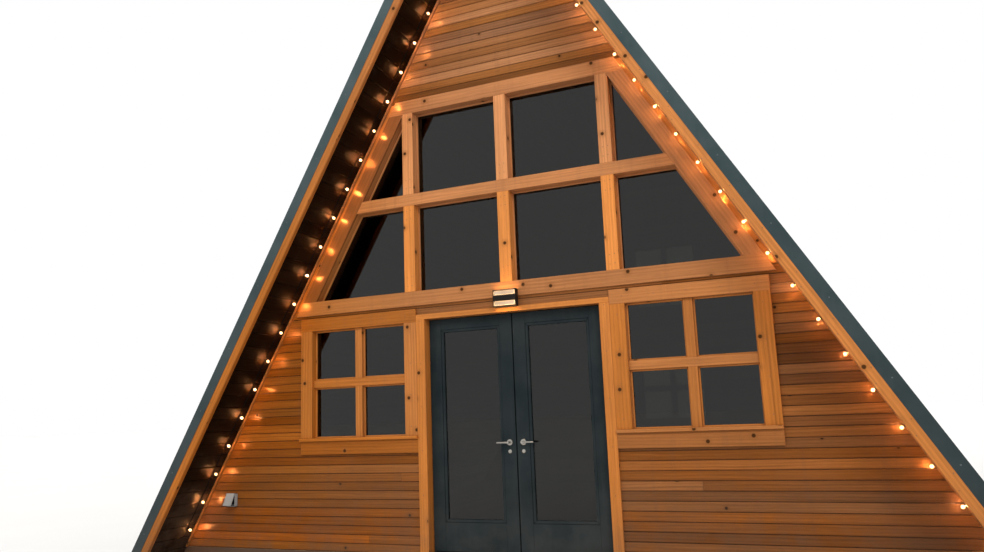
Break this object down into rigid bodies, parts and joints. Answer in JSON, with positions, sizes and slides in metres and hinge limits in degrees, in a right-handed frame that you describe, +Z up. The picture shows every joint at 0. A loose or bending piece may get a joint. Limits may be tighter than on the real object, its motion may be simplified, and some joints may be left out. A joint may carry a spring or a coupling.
{
  "type": "a-frame cabin",
  "caption": "A-frame cabin with ribbed metal roof planes to the ground, cedar gable, tapered upper window, cross-barred lower windows, inward double door and light strings.",
  "frame": {"origin": "centre of the footprint at ground level", "axes": "+X to the right along the front wall, +Y from the front door towards the back wall, +Z up"},
  "size_m": [7.5094, 8.42, 6.5393],
  "materials": {
    "cedar_siding": "oiled cedar boards with strong changes of tone from board to board",
    "cedar_trim": "oiled cedar, fine grain, satin",
    "dark_boards": "dark stained tongue and groove boards",
    "platform_wood": "stained boards",
    "green_metal": "satin blue-green coated steel sheet",
    "door_paint": "blue-grey satin paint",
    "window_glass": "clear",
    "handle_metal": "satin",
    "black_metal": "matte black",
    "grey_plastic": "weathered grey",
    "black_cable": "matte black"
  },
  "bodies": {
    "cabin": {"back_lower_window_frame": "cedar_trim", "back_lower_window_glass": "window_glass", "back_upper_window_frame": "cedar_trim", "back_upper_window_glass": "window_glass", "back_wall": "cedar_siding", "barge_back_left": "cedar_trim", "barge_back_right": "cedar_trim", "barge_front_left": "cedar_trim", "barge_front_right": "cedar_trim", "door_casing": "cedar_trim", "door_frame": "door_paint", "flashing_back_left": "green_metal", "flashing_back_right": "green_metal", "flashing_front_left": "green_metal", "flashing_front_right": "green_metal", "floor_platform": "platform_wood", "front_wall_left": "cedar_siding", "front_wall_right": "cedar_siding", "front_wall_top": "cedar_siding", "left_window_casing": "cedar_trim", "left_window_frame": "cedar_trim", "left_window_glass": "window_glass", "light_string_left": "black_cable", "light_string_right": "black_cable", "outlet_box": "grey_plastic", "rake_batten_left": "cedar_trim", "rake_batten_right": "cedar_trim", "ridge_cap": "green_metal", "right_window_casing": "cedar_trim", "right_window_frame": "cedar_trim", "right_window_glass": "window_glass", "roof_deck_left": "dark_boards", "roof_deck_right": "dark_boards", "roof_metal_left": "green_metal", "roof_metal_right": "green_metal", "upper_window_casing": "cedar_trim", "upper_window_frame": "cedar_trim", "upper_window_glass": "window_glass", "wall_light": "black_metal"},
    "door_left": {"door_left_leaf": "door_paint", "door_left_glass": "window_glass", "door_left_hardware": "handle_metal"},
    "door_right": {"door_right_leaf": "door_paint", "door_right_glass": "window_glass", "door_right_hardware": "handle_metal"}
  },
  "joints": [
    {"name": "door_left_hinge", "type": "hinge", "parent": "cabin", "child": "door_left", "pos_m": [-0.812, -3.526, 1.178], "axis": [0, 0, 1], "range_deg": [0, 100]},
    {"name": "door_right_hinge", "type": "hinge", "parent": "cabin", "child": "door_right", "pos_m": [0.812, -3.526, 1.178], "axis": [0, 0, -1], "range_deg": [0, 100]}
  ]
}
